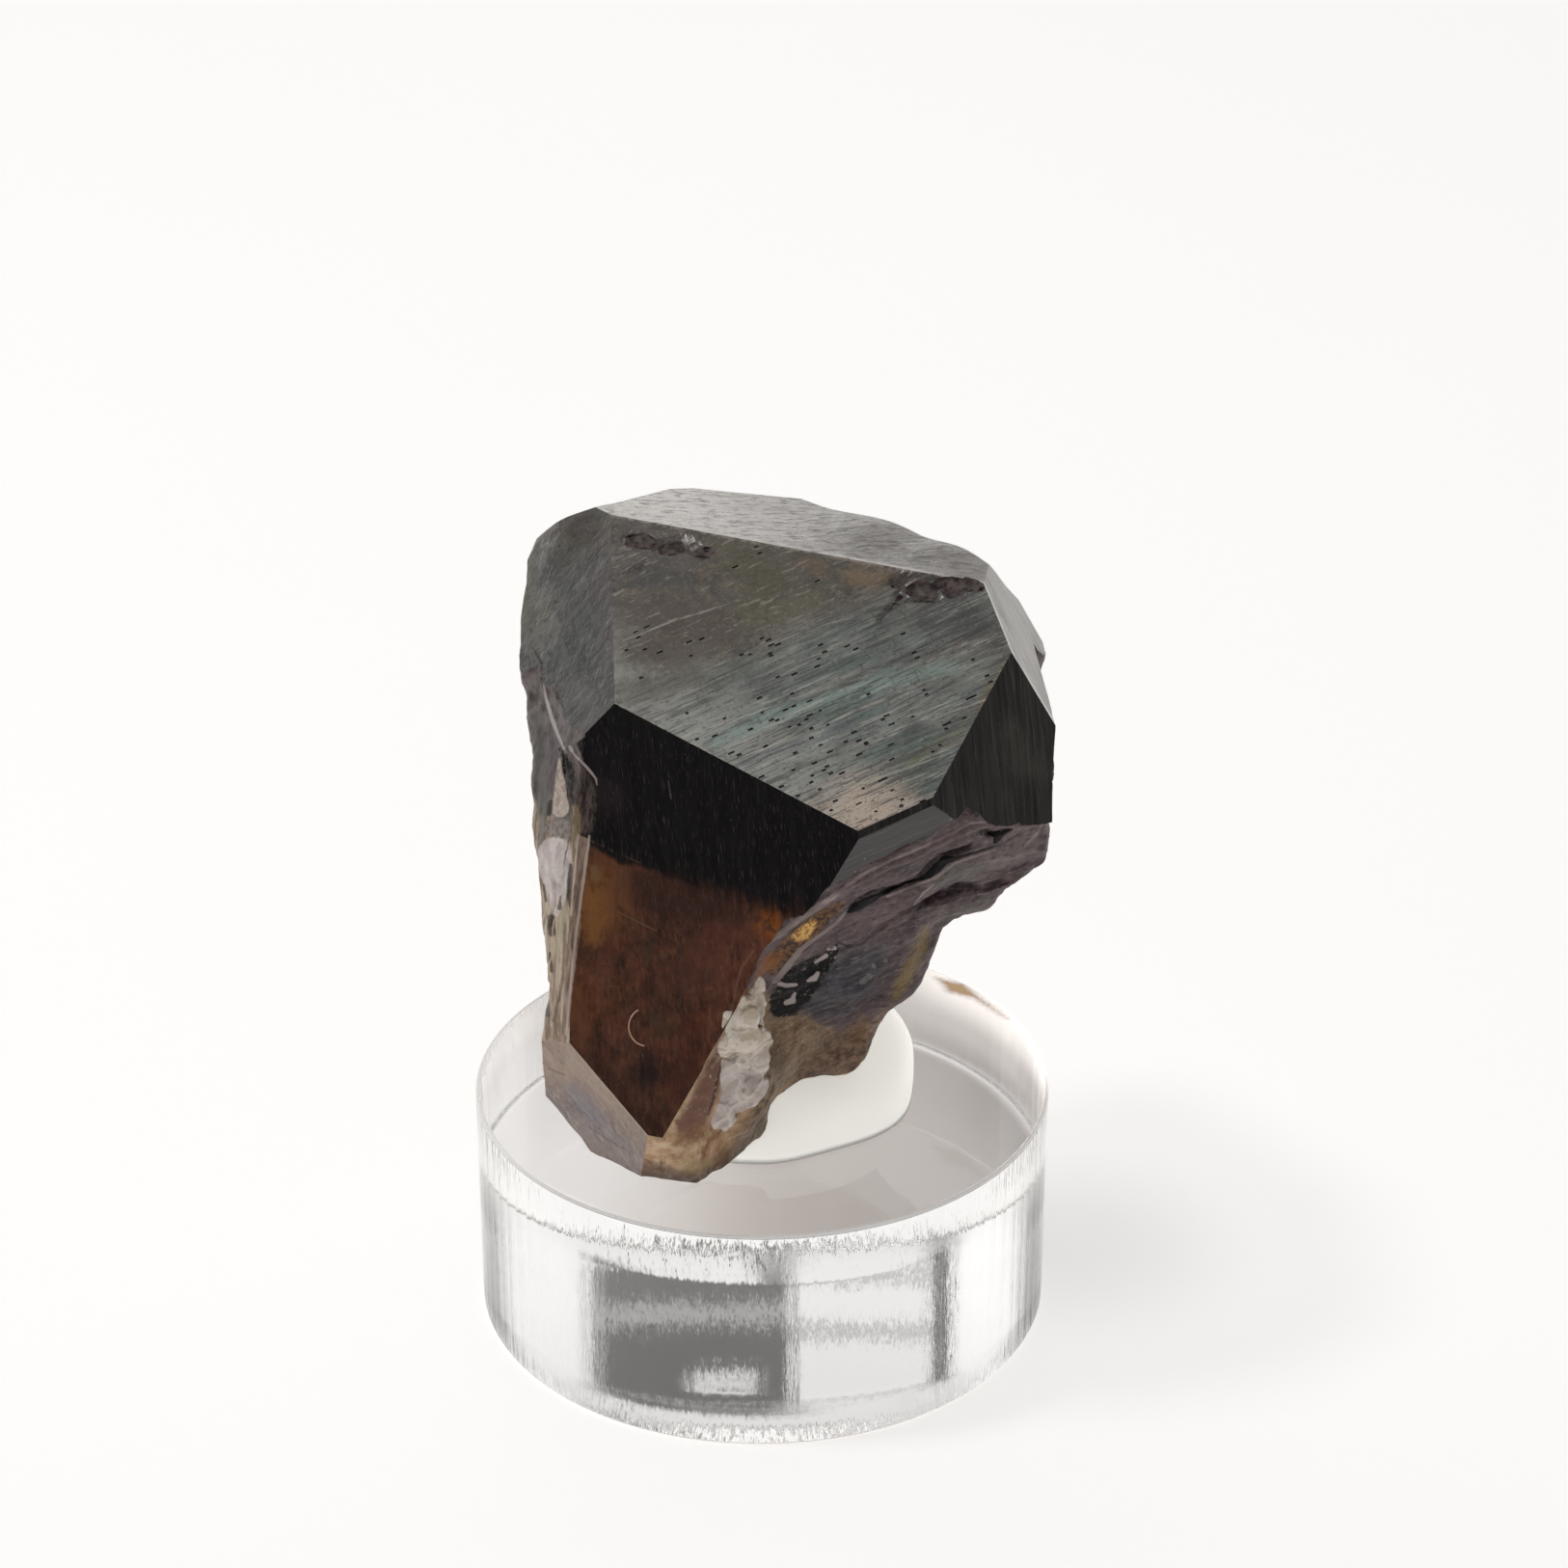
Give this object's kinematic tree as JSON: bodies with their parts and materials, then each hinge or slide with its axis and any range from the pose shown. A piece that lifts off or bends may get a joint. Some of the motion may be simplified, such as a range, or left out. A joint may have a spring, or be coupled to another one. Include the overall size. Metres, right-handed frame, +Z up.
{
  "type": "garnet crystal specimen",
  "caption": "Faceted andradite garnet crystal with a dark striated crown and amber root, held by white putty on a clear round acrylic display base.",
  "frame": {"origin": "centre of the round base's underside, on the surface that it stands on", "axes": "+Z up through the base, -Y towards the side that shows the crystal's large striated faces, +X to the right seen from there"},
  "size_m": [0.024, 0.0256, 0.0337],
  "materials": {
    "garnet": "glossy striated crystal faces, dull on the broken sides",
    "putty_white": "smooth soft satin putty",
    "clear_acrylic": "polished clear acrylic with fine saw marks round its side"
  },
  "bodies": {
    "root": {"acrylic_base": "clear_acrylic", "mounting_putty": "putty_white", "garnet_crystal": "garnet"}
  },
  "joints": []
}
